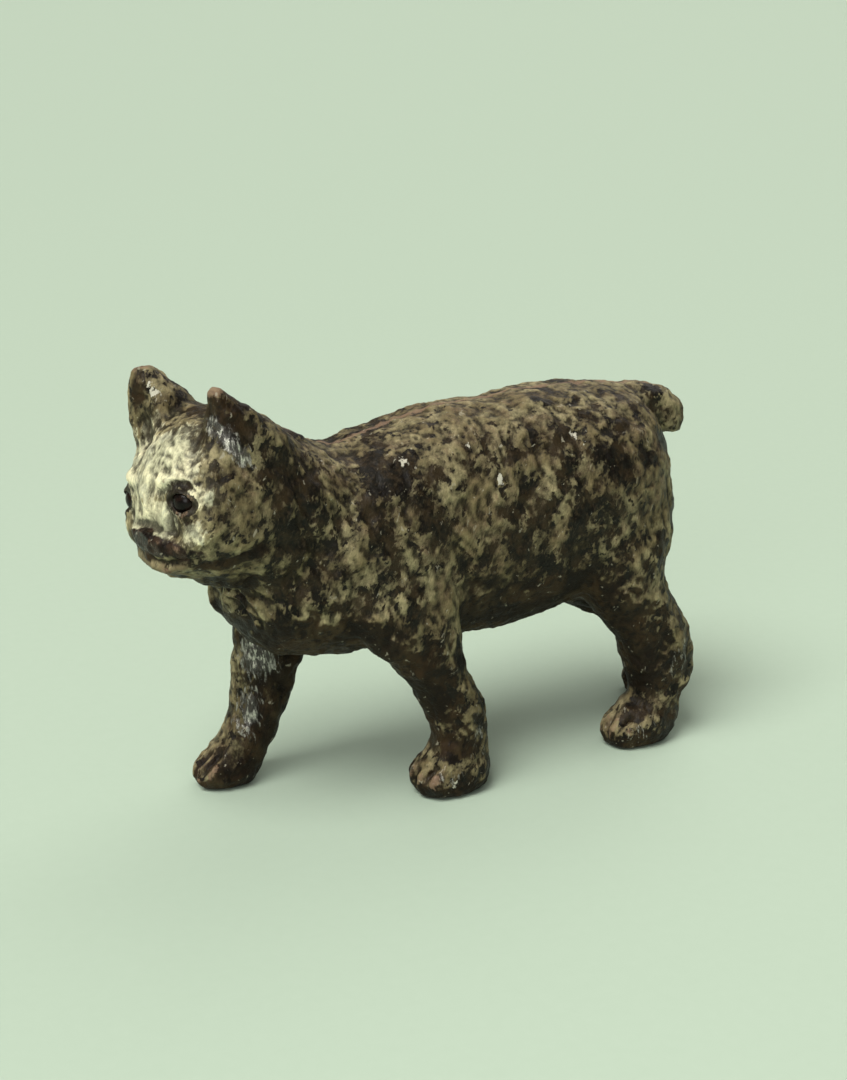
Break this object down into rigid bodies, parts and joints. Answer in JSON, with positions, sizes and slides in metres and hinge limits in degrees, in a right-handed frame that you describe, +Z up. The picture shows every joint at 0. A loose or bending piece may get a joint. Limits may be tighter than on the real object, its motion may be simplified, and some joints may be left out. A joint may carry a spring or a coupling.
{
  "type": "figural animal coin bank",
  "caption": "Walking bobtail cat cast as a hollow coin bank: two half castings joined by slotted machine screws, with a coin slot in the back.",
  "frame": {"origin": "centre of the bounding box on the surface that the paws stand on", "axes": "+X from the head to the rump, +Y to the cat's right side, +Z up; the seam lies on the plane Y = 0"},
  "size_m": [0.15, 0.044, 0.098],
  "materials": {
    "painted_casting": "worn mottled paint over cast iron",
    "eye_glass": "glossy dark glass",
    "screw_steel": "dull, lightly rusted",
    "nut_steel": "dull, lightly rusted"
  },
  "bodies": {
    "left_half": {"left_half": "painted_casting", "left_eye": "eye_glass", "chest_nut": "nut_steel", "rump_nut": "nut_steel"},
    "right_half": {"right_half": "painted_casting", "right_eye": "eye_glass"},
    "chest_screw": {"chest_screw": "screw_steel"},
    "rump_screw": {"rump_screw": "screw_steel"}
  },
  "joints": [
    {"name": "right_half_lift_off", "type": "slide", "parent": "left_half", "child": "right_half", "axis": [0, 1, 0], "range_m": [0, 0.04]},
    {"name": "chest_screw_back_out", "type": "slide", "parent": "right_half", "child": "chest_screw", "axis": [0, 1, 0], "range_m": [0, 0.024]},
    {"name": "rump_screw_back_out", "type": "slide", "parent": "right_half", "child": "rump_screw", "axis": [0, 1, 0], "range_m": [0, 0.024]}
  ]
}
